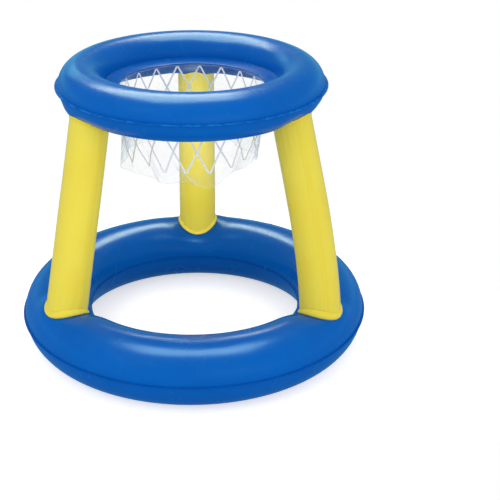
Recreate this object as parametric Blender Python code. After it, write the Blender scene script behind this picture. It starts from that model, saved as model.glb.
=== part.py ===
"""Floating basketball hoop for a swimming pool.

A blue inflated base ring floats and carries three yellow inflated legs. The legs carry a
smaller blue inflated ring, the hoop. A clear vinyl net with a printed white mesh hangs from
the flat flange that is welded inside the hoop. Each air chamber has its own push-in valve.

Lengths are in metres and angles in degrees. +Z is up. The origin is on the surface that the
base ring rests on, under the middle of the ring. The front, between two legs, faces -Y.
"""

from collections import namedtuple
from math import asin, atan, cos, floor, hypot, pi, radians, sin, sqrt, tan

import bmesh
import bpy
from mathutils import Matrix, Vector

# Vinyl sheet, and the gaps between pieces that are welded or lie together
SKIN_WALL = 0.0005
SEAM_GAP = 0.0003
SADDLE_GAP = 0.0005         # a leg's curved ends against the round of a ring
CUT_OVERRUN = 0.0060        # how far a cutter runs past the skin that it cuts

# Base ring, a tube bent round the hoop's axis
BASE_RING_RADIUS = 0.2368   # from the axis to the middle of the tube
BASE_TUBE_RADIUS = 0.0552
BASE_SEAM_WIDTH = 0.0030    # weld lip on its inner and outer side
BASE_CONTACT_WIDTH = 0.0120  # flat band that the load presses in the underside
LEG_PORT_RADIUS = 0.0050    # air passage from the base ring into each leg

# Top ring, the hoop, and the flat flange inside it
TOP_RING_RADIUS = 0.1778
TOP_TUBE_RADIUS = 0.0370
TOP_SEAM_WIDTH = 0.0048
RING_SPACING = 0.3966       # from the base tube's middle up to the top tube's middle
HOOP_OPENING_RADIUS = 0.1170
FLANGE_DROOP = 0.0045       # the net's weight draws the flange's inner edge down

# Legs, from the crown of the base ring to the underside of the top ring
LEG_COUNT = 3
BACK_LEG_AZIMUTH = 90.0
LEG_FOOT_RADIUS = 0.03375
LEG_HEAD_RADIUS = 0.03125
LEG_FOOT_OFFSET = 0.0098    # the leg's axis passes this far outside the base tube's middle
LEG_HEAD_OFFSET = -0.0026   # and this far outside the top tube's, so a little inside it
LEG_BOW = 0.0025            # outward bow at half height
HEM_HEIGHT = 0.0125         # flared skirt at the foot, where the leg is welded on
HEM_FLARE = 0.0035

# Net, a clear film that hangs in folds from a collar under the flange
NET_INSET = 0.0020          # from the hoop's opening in to the film
NET_RADIUS = HOOP_OPENING_RADIUS - NET_INSET
NET_LENGTH = 0.1280
NET_WALL = 0.0003
NET_COLLAR_WIDTH = 0.0100   # under the flange, outside the hoop's opening
NET_FOLD_DEPTH = 0.0130      # of the widest fold, at the free edge
NET_DIP = 0.0090            # the free edge hangs lower where it flares most
NET_FLARE_AZIMUTH = 190.0
NET_FOLD_COUNTS = (1, 5, 8)
NET_FOLD_SHARES = (1.00, 0.40, 0.27)
NET_FOLD_AZIMUTHS = (174.0, 211.0, 193.0)
NET_FOLD_GROWTH = 1.6

# White mesh printed on the net's outer side
PRINT_PITCHES = 19
PRINT_ROWS = 3
PRINT_ROW_HEIGHT = 0.0365
PRINT_LINE_WIDTH = 0.0023
PRINT_THICKNESS = 0.0003
PRINT_BLUNTING = 0.0020     # how far the peaks and tips are rounded off
PRINT_AZIMUTH = 83.3        # of one peak

# Push-in valves, one for the base ring and its legs and one for the top ring
BASE_VALVE_AZIMUTH = 60.0
TOP_VALVE_AZIMUTH = 120.0
VALVE_ELEVATION = 36.0      # round the tube, up from its outer side
VALVE_HOLE_RADIUS = 0.0090  # in the ring's skin
VALVE_FLANGE_RADIUS = 0.0170
VALVE_FLANGE_WALL = 0.0008
STEM_RADIUS = 0.0066
STEM_BORE_RADIUS = 0.0037
STEM_TRAVEL = 0.0120        # out of the skin, for inflating
STEM_STOP_ROOM = 0.0016     # left between the stop collar and the skin when the stem is out
STEM_RUNNING_GAP = 0.0004   # round the stem in the valve's flange
RIM_RADIUS = 0.0086         # at the stem's mouth, and of the stop collar at its inner end
RIM_THICKNESS = 0.0010
PLUG_DEPTH = 0.0050
PLUG_ROOT_RADIUS = 0.0034
PLUG_TIP_RADIUS = 0.0027
PLUG_CAP_RADIUS = 0.0075
PLUG_CAP_THICKNESS = 0.0012
STRAP_LENGTH = 0.0160       # from the valve's axis to the bend of the plug's strap
STRAP_WIDTH = 0.0035
STRAP_THICKNESS = 0.0007
EAR_THICKNESS = 0.0006      # tab on the stem's rim that carries the strap
EAR_POST_WIDTH = 0.0017
FLAP_RADIUS = 0.0054
FLAP_THICKNESS = 0.0006
FLAP_HINGE_DISTANCE = 0.0074
FLAP_TAB_WIDTH = 0.0050

# Facets
RING_STEPS = 48
BASE_TUBE_STEPS = 10
TOP_TUBE_STEPS = 8
LEG_STEPS = 24
VALVE_STEPS = 16
NET_STEPS_A_PITCH = 4
TRACE_STEPS = 80
SHARP_ANGLE = 40.0

Ring = namedtuple("Ring", "radius tube height")
BASE_HEIGHT = sqrt(BASE_TUBE_RADIUS ** 2 - (BASE_CONTACT_WIDTH / 2) ** 2)
BASE = Ring(BASE_RING_RADIUS, BASE_TUBE_RADIUS, BASE_HEIGHT)
TOP = Ring(TOP_RING_RADIUS, TOP_TUBE_RADIUS, BASE_HEIGHT + RING_SPACING)

BLUE_VINYL = ("blue_vinyl", (0.0, 0.112, 0.515, 1.0), 0.30)
YELLOW_VINYL = ("yellow_vinyl", (0.840, 0.730, 0.102, 1.0), 0.35)
CLEAR_VINYL = ("clear_vinyl", (0.860, 0.900, 0.950, 0.30), 0.15)
WHITE_INK = ("white_ink", (0.900, 0.910, 0.920, 1.0), 0.45)
VALVE_VINYL = ("valve_vinyl", (0.700, 0.760, 0.800, 1.0), 0.30)


# Shared helpers

def make_material(node, finish):
    """A piece's own material, in one of the object's finishes."""
    name, colour, roughness = finish
    material = bpy.data.materials.new(f"{node}_{name}")
    material.use_nodes = True
    shader = material.node_tree.nodes["Principled BSDF"]
    shader.inputs["Base Color"].default_value = colour
    shader.inputs["Roughness"].default_value = roughness
    shader.inputs["Metallic"].default_value = 0.0
    shader.inputs["Alpha"].default_value = colour[3]
    return material


def add_piece(node, bm, finish, place=Matrix.Identity(4), parent=None):
    """Turn a bmesh into a named object at its place, which is given in its parent's frame."""
    bmesh.ops.recalc_face_normals(bm, faces=bm.faces)
    mesh = bpy.data.meshes.new(node)
    bm.to_mesh(mesh)
    bm.free()
    mesh.shade_smooth()
    mesh.set_sharp_from_angle(angle=radians(SHARP_ANGLE))
    mesh.materials.append(make_material(node, finish))
    piece = bpy.data.objects.new(node, mesh)
    bpy.context.collection.objects.link(piece)
    piece.parent = parent
    piece.matrix_basis = place
    return piece


def skin_rows(rows, closed, split=None):
    """Join rows of points with faces. A closed run meets itself, an open one gets two end caps.

    Split says, for a row and a point, whether the face is cut from its first corner or its second.
    """
    bm = bmesh.new()
    rings = [[bm.verts.new(point) for point in row] for row in rows]
    pairs = list(zip(rings, rings[1:]))
    if closed:
        pairs.append((rings[-1], rings[0]))
    for k, (ring, following) in enumerate(pairs):
        for i in range(len(ring)):
            j = (i + 1) % len(ring)
            corners = (ring[i], ring[j], following[j], following[i])
            if split is None:
                bm.faces.new(corners)
            elif split(k, i):
                bm.faces.new(corners[:3])
                bm.faces.new((corners[0], corners[2], corners[3]))
            else:
                bm.faces.new((corners[0], corners[1], corners[3]))
                bm.faces.new(corners[1:])
    if not closed:
        bm.faces.new(rings[0])
        bm.faces.new(rings[-1])
    return bm


def turn_profile(profile, steps):
    """Turn a closed outline of (radius, height) points round the Z axis."""
    rows = []
    for k in range(steps):
        angle = 2 * pi * k / steps
        rows.append([Vector((r * cos(angle), r * sin(angle), z)) for r, z in profile])
    return skin_rows(rows, closed=True)


def turn_stack(stack, steps):
    """Stack discs of (radius, height) on the Z axis into one solid."""
    angles = [2 * pi * k / steps for k in range(steps)]
    rows = [[Vector((r * cos(a), r * sin(a), z)) for a in angles] for r, z in stack]
    return skin_rows(rows, closed=False)


def extrude_outline(points, travel):
    """Extrude a flat outline into a solid."""
    bm = bmesh.new()
    face = bm.faces.new([bm.verts.new(point) for point in points])
    raised = bmesh.ops.extrude_face_region(bm, geom=[face] + face.edges[:], use_keep_orig=True)
    verts = [item for item in raised["geom"] if isinstance(item, bmesh.types.BMVert)]
    bmesh.ops.translate(bm, verts=verts, vec=travel)
    return bm


def add_boolean(piece, tool, operation):
    """Cut a tool out of a piece, or fuse it to the piece. The tool stays as a hidden guide."""
    modifier = piece.modifiers.new(f"{operation.lower()}_{tool.name}", "BOOLEAN")
    modifier.operation = operation
    modifier.solver = "EXACT"
    modifier.object = tool
    tool.hide_render = True
    tool.display_type = "WIRE"


def cut_hole(piece, name, radius, place):
    """Cut a round hole through a skin, square to it."""
    bm = bmesh.new()
    bmesh.ops.create_cone(bm, cap_ends=True, segments=VALVE_STEPS, radius1=radius,
                          radius2=radius, depth=2 * CUT_OVERRUN)
    add_boolean(piece, add_piece(name, bm, VALVE_VINYL, place), "DIFFERENCE")


def ring_point(ring, azimuth, elevation, proud=0.0):
    """A point on a ring's tube. Elevation goes round the tube, up from its outer side."""
    reach = ring.radius + (ring.tube + proud) * cos(elevation)
    height = ring.height + (ring.tube + proud) * sin(elevation)
    return Vector((reach * cos(azimuth), reach * sin(azimuth), height))


def ring_frame(ring, azimuth, elevation):
    """The frame on a ring's skin: X along the ring, Y up the tube, Z straight out."""
    along = Vector((-sin(azimuth), cos(azimuth), 0))
    out = Vector((cos(elevation) * cos(azimuth), cos(elevation) * sin(azimuth), sin(elevation)))
    frame = Matrix((along, out.cross(along), out)).transposed().to_4x4()
    frame.translation = ring_point(ring, azimuth, elevation)
    return frame


# Rings: each is two shaped sheets, an upper and a lower, welded round both edges

def tube_arc(radius, start_height, steps, flat_width):
    """Half of a tube's outline, from the outer side to the inner, with a flat in its middle."""
    start = asin(start_height / radius)
    flat = asin(flat_width / 2 / radius)
    if flat_width == 0:
        angles = [start + (pi - 2 * start) * i / steps for i in range(steps + 1)]
    else:
        half = steps // 2
        quarter = [start + (pi / 2 - flat - start) * i / half for i in range(half + 1)]
        angles = quarter + [pi - angle for angle in reversed(quarter)]
    return [(radius * cos(angle), radius * sin(angle)) for angle in angles]


def ring_skin(node, ring, side, steps, seam_width, inner_edge, droop, flat_width=0.0):
    """One welded sheet of a ring. Side is 1 for the upper sheet and -1 for the lower."""
    half_gap = SEAM_GAP / 2
    outer_edge = ring.radius + ring.tube + seam_width
    skin = tube_arc(ring.tube, half_gap + SKIN_WALL, steps, flat_width)
    lining = tube_arc(ring.tube - SKIN_WALL, half_gap, steps, flat_width)
    profile = [(outer_edge, side * half_gap), (outer_edge, side * (half_gap + SKIN_WALL))]
    profile += [(ring.radius + r, side * z) for r, z in skin]
    profile += [(inner_edge, side * (half_gap + SKIN_WALL) - droop)]
    profile += [(inner_edge, side * half_gap - droop)]
    profile += [(ring.radius + r, side * z) for r, z in reversed(lining)]
    bm = turn_profile([(r, ring.height + z) for r, z in profile], RING_STEPS)
    return add_piece(node, bm, BLUE_VINYL)


def build_rings():
    """The base ring and the top ring, whose inner lips reach in as the hoop's flange."""
    base_inner_edge = BASE.radius - BASE.tube - BASE_SEAM_WIDTH
    base_upper = ring_skin("base_ring_upper_skin", BASE, 1, BASE_TUBE_STEPS,
                           BASE_SEAM_WIDTH, base_inner_edge, 0)
    ring_skin("base_ring_lower_skin", BASE, -1, BASE_TUBE_STEPS,
              BASE_SEAM_WIDTH, base_inner_edge, 0, BASE_CONTACT_WIDTH)
    top_upper = ring_skin("top_ring_upper_skin", TOP, 1, TOP_TUBE_STEPS,
                          TOP_SEAM_WIDTH, HOOP_OPENING_RADIUS, FLANGE_DROOP)
    ring_skin("top_ring_lower_skin", TOP, -1, TOP_TUBE_STEPS,
              TOP_SEAM_WIDTH, HOOP_OPENING_RADIUS, FLANGE_DROOP)
    return base_upper, top_upper


# Legs: yellow sleeves, cut to a saddle at both ends and welded to the rings

def reach_to_ring(start, direction, ring):
    """How far a line runs before it comes to the saddle gap from a ring's tube."""
    travelled = 0.0
    for _ in range(TRACE_STEPS):
        point = start + direction * travelled
        off_middle = hypot(hypot(point.x, point.y) - ring.radius, point.z - ring.height)
        travelled += off_middle - ring.tube - SADDLE_GAP
    return travelled


def sleeve_line(middle, axis, spoke, outward, inset):
    """One line up a sleeve's wall: the flared hem, the plain wall and the upper end."""
    foot_radius = LEG_FOOT_RADIUS - inset
    head_radius = LEG_HEAD_RADIUS - inset
    edge = reach_to_ring(middle + spoke * (foot_radius + HEM_FLARE), -axis, BASE)
    plain = reach_to_ring(middle + spoke * foot_radius, -axis, BASE)
    head = reach_to_ring(middle + spoke * head_radius, axis, TOP)
    rows = [(-edge, foot_radius + HEM_FLARE)]
    rows += [(-plain + HEM_HEIGHT / 2, foot_radius + HEM_FLARE / 3)]
    hem_top = -plain + HEM_HEIGHT
    for share in (0.0, 0.25, 0.5, 0.75, 1.0):
        along = hem_top + (head - hem_top) * share
        rows += [(along, foot_radius + (head_radius - foot_radius) * share)]
    line = []
    for along, radius in rows:
        share = (along + edge) / (head + edge)
        bow = LEG_BOW * 4 * share * (1 - share)
        line.append(middle + axis * along + spoke * radius + outward * bow)
    return line


def build_leg(node, azimuth):
    """One sleeve, leaning in from the base ring's crown to the top ring's underside."""
    outward = Vector((cos(azimuth), sin(azimuth), 0))
    sideways = Vector((-sin(azimuth), cos(azimuth), 0))
    foot = outward * BASE.radius + Vector((0, 0, BASE.height))
    head = outward * TOP.radius + Vector((0, 0, TOP.height))
    across = sideways.cross(head - foot).normalized()
    foot += across * LEG_FOOT_OFFSET
    head += across * LEG_HEAD_OFFSET
    axis = (head - foot).normalized()
    middle = (head + foot) / 2
    across = sideways.cross(axis)
    sections = []
    for k in range(LEG_STEPS):
        angle = 2 * pi * k / LEG_STEPS
        spoke = across * cos(angle) + sideways * sin(angle)
        wall = sleeve_line(middle, axis, spoke, outward, 0)
        lining = sleeve_line(middle, axis, spoke, outward, SKIN_WALL)
        sections.append(wall + lining[::-1])
    add_piece(node, skin_rows(sections, closed=True), YELLOW_VINYL)


# Net: a clear film with a welded collar, and the mesh printed on it

def flange_sag(radius):
    """How far the flange has drooped at a radius inside the top ring."""
    weld = TOP.radius - TOP.tube
    return FLANGE_DROOP * (weld - radius) / (weld - HOOP_OPENING_RADIUS)


def collar_height(radius):
    """Top face of the net's collar, close under the lower sheet's flange."""
    return TOP.height - flange_sag(radius) - SEAM_GAP / 2 - SKIN_WALL - SEAM_GAP


def net_folds(azimuth):
    """How far the net's free edge stands in or out at an azimuth, as a share of the folds."""
    waves = zip(NET_FOLD_COUNTS, NET_FOLD_SHARES, NET_FOLD_AZIMUTHS)
    return sum(share * cos(count * (azimuth - radians(crest))) for count, share, crest in waves)


def net_point(azimuth, drop, proud=0.0):
    """A point on the net's outer side, a distance below its weld, or proud of it.

    The film hangs straight over the first row of the mesh and folds more and more below it.
    """
    free_drop = max(0.0, drop - PRINT_ROW_HEIGHT)
    growth = (free_drop / (NET_LENGTH - PRINT_ROW_HEIGHT)) ** NET_FOLD_GROWTH
    reach = NET_RADIUS + NET_FOLD_DEPTH * growth * net_folds(azimuth) + proud
    return Vector((reach * cos(azimuth), reach * sin(azimuth), collar_height(NET_RADIUS) - drop))


def net_facet_point(azimuth, drop, proud):
    """A point proud of the film's facets, which are flat between the mesh's quarter pitches."""
    step = 2 * pi / (PRINT_PITCHES * NET_STEPS_A_PITCH)
    place = (azimuth - radians(PRINT_AZIMUTH)) / step
    level = 2 * drop / PRINT_ROW_HEIGHT
    column, row = floor(place), floor(level)
    sides = []
    for k in (column, column + 1):
        upper, lower = (net_point(radians(PRINT_AZIMUTH) + step * k, PRINT_ROW_HEIGHT * i / 2, proud)
                        for i in (row, row + 1))
        sides.append(upper.lerp(lower, level - row))
    return sides[0].lerp(sides[1], place - column)


def build_net_film():
    """The film: straight at its weld, wavy at its free edge, with its collar turned outward."""
    steps = PRINT_PITCHES * NET_STEPS_A_PITCH
    collar_radius = HOOP_OPENING_RADIUS + NET_COLLAR_WIDTH
    sections = []
    for k in range(steps):
        azimuth = radians(PRINT_AZIMUTH) + 2 * pi * k / steps
        dip = max(0.0, cos(azimuth - radians(NET_FLARE_AZIMUTH))) ** 3 * NET_DIP
        drops = [PRINT_ROW_HEIGHT * (2 + i) / 2 for i in range(2 * PRINT_ROWS - 1)]
        drops += [NET_LENGTH + dip]
        ray = Vector((cos(azimuth), sin(azimuth), 0))
        up = Vector((0, 0, 1))
        outer = [net_point(azimuth, drop) for drop in reversed(drops)]
        corner = ray * NET_RADIUS + up * (collar_height(NET_RADIUS) - NET_WALL)
        collar_edge = ray * collar_radius + up * collar_height(collar_radius)
        inner_corner = ray * (NET_RADIUS - NET_WALL) + up * collar_height(NET_RADIUS - NET_WALL)
        inner = [net_point(azimuth, drop, -NET_WALL) for drop in drops]
        collar = [corner, collar_edge - up * NET_WALL, collar_edge, inner_corner]
        sections.append(outer + collar + inner)

    def split(column, i):
        """Cut the faces along the printed lines, alike on the film's two sides."""
        inner_start = len(outer) + len(collar)
        level = i - inner_start + 2 if i >= inner_start else 2 * PRINT_ROWS - i
        falls_right = (column - level) % NET_STEPS_A_PITCH == 0
        return falls_right == (i >= inner_start)

    add_piece("net_film", skin_rows(sections, closed=True, split=split), CLEAR_VINYL)


def build_net_print():
    """The mesh: crossing zigzag lines in rows of diamonds, on the film's outer side."""
    bm = bmesh.new()
    pitch = 2 * pi / PRINT_PITCHES
    slope = atan(NET_RADIUS * pitch / 2 / PRINT_ROW_HEIGHT)
    half_side = PRINT_LINE_WIDTH / 2 / cos(slope)
    half_drop = PRINT_LINE_WIDTH / 2 / sin(slope)
    blunt_side = half_side + PRINT_BLUNTING * tan(slope)

    def vertex(place):
        azimuth, drop = place
        return bm.verts.new(net_facet_point(azimuth, drop, SEAM_GAP))

    def corner(azimuth, drop, side, fall):
        place = (azimuth + side / NET_RADIUS, drop + fall)
        return place, vertex(place)

    def halfway(one, other, turn):
        (azimuth, drop), (far_azimuth, far_drop) = one, other
        return vertex(((azimuth + far_azimuth + turn) / 2, (drop + far_drop) / 2))

    rows = []
    for row in range(PRINT_ROWS + 1):
        knots = []
        for column in range(PRINT_PITCHES):
            azimuth = radians(PRINT_AZIMUTH) + pitch * (column + row / 2)
            drop = PRINT_ROW_HEIGHT * row
            side, fall, top, bottom = half_side, 0.0, -half_drop, half_drop
            if row == 0:
                side, fall, top = blunt_side, PRINT_BLUNTING, PRINT_BLUNTING / 2
            if row == PRINT_ROWS:
                side, fall, bottom = blunt_side, -PRINT_BLUNTING, -PRINT_BLUNTING / 2
            knot = {"left": corner(azimuth, drop, -side, fall), "top": corner(azimuth, drop, 0, top),
                    "right": corner(azimuth, drop, side, fall),
                    "bottom": corner(azimuth, drop, 0, bottom)}
            bm.faces.new([knot[name][1] for name in ("left", "top", "right", "bottom")])
            knots.append(knot)
        rows.append(knots)
    for upper, lower in zip(rows, rows[1:]):
        for column in range(PRINT_PITCHES):
            knot = upper[column]
            for below, near, far in ((0, "right", "left"), (-1, "left", "right")):
                turn = 2 * pi if column + below < 0 else 0
                mate = lower[column + below]
                first = halfway(knot[near][0], mate["top"][0], -turn)
                second = halfway(knot["bottom"][0], mate[far][0], -turn)
                bm.faces.new((knot[near][1], first, second, knot["bottom"][1]))
                bm.faces.new((first, mate["top"][1], mate[far][1], second))
    faces = bm.faces[:]
    raised = bmesh.ops.extrude_face_region(bm, geom=faces + bm.edges[:], use_keep_orig=True)
    for item in raised["geom"]:
        if isinstance(item, bmesh.types.BMVert):
            ray = Vector((item.co.x, item.co.y, 0)).normalized()
            item.co += ray * PRINT_THICKNESS
    add_piece("net_print", bm, WHITE_INK)


# Valves: a welded flange, a stem that pushes in, a plug on a strap and a check flap

def valve_flange(node, ring, azimuth, elevation, frame):
    """The soft disc that is welded to the skin and follows its round."""
    base = SEAM_GAP
    bore = STEM_RADIUS + STEM_RUNNING_GAP
    middle = (bore + VALVE_FLANGE_RADIUS) / 2
    reach = ring.radius + ring.tube * cos(elevation)
    to_frame = frame.inverted()
    levels = [(r, base) for r in (bore, middle, VALVE_FLANGE_RADIUS)]
    levels += [(r, base + VALVE_FLANGE_WALL) for r in (VALVE_FLANGE_RADIUS, middle, bore)]
    sections = []
    for k in range(VALVE_STEPS):
        angle = 2 * pi * k / VALVE_STEPS
        section = []
        for r, proud in levels:
            point = ring_point(ring, azimuth + r * cos(angle) / reach,
                               elevation + r * sin(angle) / ring.tube, proud)
            section.append(to_frame @ point)
        sections.append(section)
    add_piece(node, skin_rows(sections, closed=True), VALVE_VINYL, frame)


def build_valve(name, ring, azimuth, skin):
    """One valve, pushed in and closed, square to the ring's skin."""
    elevation = radians(VALVE_ELEVATION)
    frame = ring_frame(ring, azimuth, elevation)
    cut_hole(skin, f"{name}_hole", VALVE_HOLE_RADIUS, frame)
    valve_flange(f"{name}_flange", ring, azimuth, elevation, frame)
    slide = bpy.data.objects.new(f"{name}_slide_axis", None)
    bpy.context.collection.objects.link(slide)
    slide.matrix_basis = frame

    seat = 2 * SEAM_GAP + VALVE_FLANGE_WALL
    mouth = seat + RIM_THICKNESS
    inner_end = -(STEM_TRAVEL + STEM_STOP_ROOM + RIM_THICKNESS)
    stem_profile = [(STEM_BORE_RADIUS, inner_end), (RIM_RADIUS, inner_end),
                    (RIM_RADIUS, inner_end + RIM_THICKNESS), (STEM_RADIUS, inner_end + RIM_THICKNESS),
                    (STEM_RADIUS, seat), (RIM_RADIUS, seat),
                    (RIM_RADIUS, mouth), (STEM_BORE_RADIUS, mouth)]
    stem = add_piece(f"{name}_stem", turn_profile(stem_profile, VALVE_STEPS), VALVE_VINYL,
                     parent=slide)

    cap_base = mouth + SEAM_GAP
    strap_base = cap_base + (PLUG_CAP_THICKNESS - STRAP_THICKNESS) / 2
    bend = strap_base + STRAP_THICKNESS
    ear_base = seat + (RIM_THICKNESS - EAR_THICKNESS) / 2
    ear_top = ear_base + EAR_THICKNESS
    ear_root = (STEM_RADIUS + STEM_BORE_RADIUS) / 2
    post = STRAP_LENGTH + SEAM_GAP
    ear_outline = [(-ear_root, ear_base), (-post - EAR_POST_WIDTH, ear_base),
                   (-post - EAR_POST_WIDTH, bend), (-post, bend),
                   (-post, ear_top), (-ear_root, ear_top)]
    half_strap = STRAP_WIDTH / 2
    ear = extrude_outline([Vector((x, -half_strap, z)) for x, z in ear_outline],
                          Vector((0, STRAP_WIDTH, 0)))
    add_boolean(stem, add_piece(f"{name}_ear_shape", ear, VALVE_VINYL, parent=slide), "UNION")

    hinge = Vector((-STRAP_LENGTH, 0, bend))
    plug_stack = [(PLUG_TIP_RADIUS, cap_base - PLUG_DEPTH - bend),
                  (PLUG_ROOT_RADIUS, cap_base - bend), (PLUG_CAP_RADIUS, cap_base - bend),
                  (PLUG_CAP_RADIUS, cap_base + PLUG_CAP_THICKNESS - bend)]
    plug_bm = turn_stack(plug_stack, VALVE_STEPS)
    bmesh.ops.translate(plug_bm, verts=plug_bm.verts, vec=Vector((STRAP_LENGTH, 0, 0)))
    plug = add_piece(f"{name}_plug", plug_bm, VALVE_VINYL, Matrix.Translation(hinge), stem)
    strap_end = STRAP_LENGTH - (PLUG_CAP_RADIUS + PLUG_ROOT_RADIUS) / 2
    strap_outline = [(0, 0), (strap_end, 0), (strap_end, -STRAP_THICKNESS), (0, -STRAP_THICKNESS)]
    strap = extrude_outline([Vector((x, -half_strap, z)) for x, z in strap_outline],
                            Vector((0, STRAP_WIDTH, 0)))
    strap_shape = add_piece(f"{name}_strap_shape", strap, VALVE_VINYL, Matrix.Translation(hinge), stem)
    add_boolean(plug, strap_shape, "UNION")

    flap_top = inner_end - SEAM_GAP
    tab_angle = asin(FLAP_TAB_WIDTH / 2 / FLAP_RADIUS)
    outline = []
    for k in range(VALVE_STEPS):
        angle = -pi + tab_angle + 2 * (pi - tab_angle) * k / (VALVE_STEPS - 1)
        outline.append((FLAP_HINGE_DISTANCE + FLAP_RADIUS * cos(angle), FLAP_RADIUS * sin(angle)))
    outline += [(0, FLAP_TAB_WIDTH / 2), (0, -FLAP_TAB_WIDTH / 2)]
    flap = extrude_outline([Vector((x, y, 0)) for x, y in outline], Vector((0, 0, -FLAP_THICKNESS)))
    flap_hinge = Matrix.Translation(Vector((-FLAP_HINGE_DISTANCE, 0, flap_top)))
    add_piece(f"{name}_check_flap", flap, VALVE_VINYL, flap_hinge, stem)


def build_hoop():
    """The whole assembly."""
    for thing in list(bpy.data.objects):
        bpy.data.objects.remove(thing, do_unlink=True)
    base_upper, top_upper = build_rings()
    for k, node in enumerate(("leg_back", "leg_left", "leg_right")):
        azimuth = radians(BACK_LEG_AZIMUTH) + 2 * pi * k / LEG_COUNT
        build_leg(node, azimuth)
        cut_hole(base_upper, f"{node}_port", LEG_PORT_RADIUS, ring_frame(BASE, azimuth, pi / 2))
    build_net_film()
    build_net_print()
    build_valve("base_valve", BASE, radians(BASE_VALVE_AZIMUTH), base_upper)
    build_valve("top_valve", TOP, radians(TOP_VALVE_AZIMUTH), top_upper)


build_hoop()
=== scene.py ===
from collections import namedtuple
from math import asin, atan, cos, pi, radians, sin, sqrt, tan

import bmesh
import bpy
import numpy as np
from mathutils import Matrix, Vector


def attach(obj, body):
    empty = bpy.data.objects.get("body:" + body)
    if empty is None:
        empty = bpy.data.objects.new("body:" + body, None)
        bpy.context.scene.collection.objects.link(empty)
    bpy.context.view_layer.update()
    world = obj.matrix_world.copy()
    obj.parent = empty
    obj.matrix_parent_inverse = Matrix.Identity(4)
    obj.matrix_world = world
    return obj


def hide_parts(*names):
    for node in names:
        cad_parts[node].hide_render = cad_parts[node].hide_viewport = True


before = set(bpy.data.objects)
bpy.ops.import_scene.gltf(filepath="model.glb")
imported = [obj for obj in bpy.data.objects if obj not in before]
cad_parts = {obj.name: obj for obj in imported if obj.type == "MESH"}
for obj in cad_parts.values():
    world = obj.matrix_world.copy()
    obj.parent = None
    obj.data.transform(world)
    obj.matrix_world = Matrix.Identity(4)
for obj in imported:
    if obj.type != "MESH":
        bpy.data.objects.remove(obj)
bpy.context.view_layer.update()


# Base ring, which floats and carries the rest. It is two flat rings of blue PVC sheet, welded
# together round their outer and inner edges and blown up into a tube. The outer seam is the
# longer one, so the skin puckers a little all along it.
SKIN_WALL = 0.0005
SEAM_GAP = 0.0001
BASE_RING_RADIUS = 0.2368
BASE_TUBE_RADIUS = 0.0552
BASE_SEAM_WIDTH = 0.0030
BASE_CONTACT_WIDTH = 0.0120
BASE_HEIGHT = sqrt(BASE_TUBE_RADIUS ** 2 - (BASE_CONTACT_WIDTH / 2) ** 2)
BASE_RIPPLE = 0.00022        # up and down at the outer lip
BASE_PUCKER = 0.00016        # depth of the puckers beside the outer seam
PUCKER_REACH = 0.0065        # from the seam to where they are deepest
RING_STEPS = 384
TUBE_STEPS = 44
LIP_STEPS = 5
FLANGE_STEP = 0.0011
BEAD_WIDTH = 0.0006          # the weld squeezes a fine bead out of the lip's edge
BEAD_SHARE = 0.45
PRESSED_SHARE = 0.22         # how much thinner the weld presses the sheet
WELD_BAND = 0.0040           # welded band at each edge of an inner lip
PRESSED_WELD = 1.0           # tones of a skin's weld mask, which is 0 on plain sheet
MATT_LIP = -0.15             # the duller sheet between an inner lip's bands
PAINTED_HIGHLIGHT_WELD = -1.0             # a weld edge that carries a painted highlight, pale where the lip would catch the light
RIPPLE_MEAN = 0.55
RIPPLE_WAVES = (2, 3, 5, 9)  # how the ripples grow and fade round a ring
PUCKER_SLANT = 0.01
FLANGE_WAVE = 0.0005         # slow ups and downs of a wide inner lip
FLANGE_WAVES = (2, 3, 5, 7)
WAVE_SHARE = 0.65            # of their sum that several waves reach together
SHARP_EDGE = radians(42.0)
BLUE = (0.0, 0.120, 0.522, 1.0)
DEEP_BLUE = (0.0, 0.085, 0.420, 1.0)
# painted highlight colour for the lit edge of the top ring's outer seam
SEAM_HIGHLIGHT_BLUE = (0.01, 0.220, 0.680, 1.0)
BLUE_ROUGHNESS = (0.24, 0.28)
WHITE = (1.0, 1.0, 1.0, 1.0)

CLOUD_NOISE = (11.0, 3.0, 0.55, 0.4)   # cells to the metre, detail, roughness and distortion
GRAIN_NOISE = (1300.0, 1.0)
SMEAR_NOISE = (34.0, 3.0, 0.5, 0.5)
PATCH_NOISE = (70.0, 1.0)
BREAK_NOISE = (75.0, 3.0, 0.65)
SPECK_CELLS = 330.0
KNURL_CELLS = 1150.0
KNURL_HEIGHT = 0.00005
WELD_SHADE = 0.55            # how far a weld takes the sheet to its deep colour
DUST_GREY = (0.75, 0.77, 0.80, 1.0)
DUST_ROUGHNESS = 0.3
VINYL_IOR = 1.52
MATT_SPECULAR = 1 / 3        # of the plain sheet's

Ring = namedtuple("Ring", "radius tube height seam inner_edge droop ripple pucker waves seed seam_tone")
BASE = Ring(BASE_RING_RADIUS, BASE_TUBE_RADIUS, BASE_HEIGHT, BASE_SEAM_WIDTH,
            BASE_RING_RADIUS - BASE_TUBE_RADIUS - BASE_SEAM_WIDTH, 0.0, BASE_RIPPLE, BASE_PUCKER,
            (61, 83, 104, 127, 149), 11, PRESSED_WELD)


def feed(tree, node, values):
    """Set a node's sockets to constants or link them to other sockets."""
    for name, value in values.items():
        if isinstance(value, bpy.types.NodeSocket):
            tree.links.new(value, node.inputs[name])
        else:
            node.inputs[name].default_value = value


def add_node(tree, kind, values=None, **settings):
    """A shader node with its settings and what feeds it."""
    node = tree.nodes.new(kind)
    for name, setting in settings.items():
        setattr(node, name, setting)
    feed(tree, node, values or {})
    return node


def mix_colours(tree, share, first, second):
    """Blend two colours by a share."""
    node = add_node(tree, "ShaderNodeMix", {0: share, 6: first, 7: second}, data_type="RGBA")
    return node.outputs[2]


def map_range(tree, value, low, high, to_low=0.0, to_high=1.0):
    """Stretch a value from one range to another and clamp it there."""
    node = add_node(tree, "ShaderNodeMapRange", {"Value": value, "From Min": low, "From Max": high,
                                                 "To Min": to_low, "To Max": to_high})
    return node.outputs["Result"]


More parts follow.
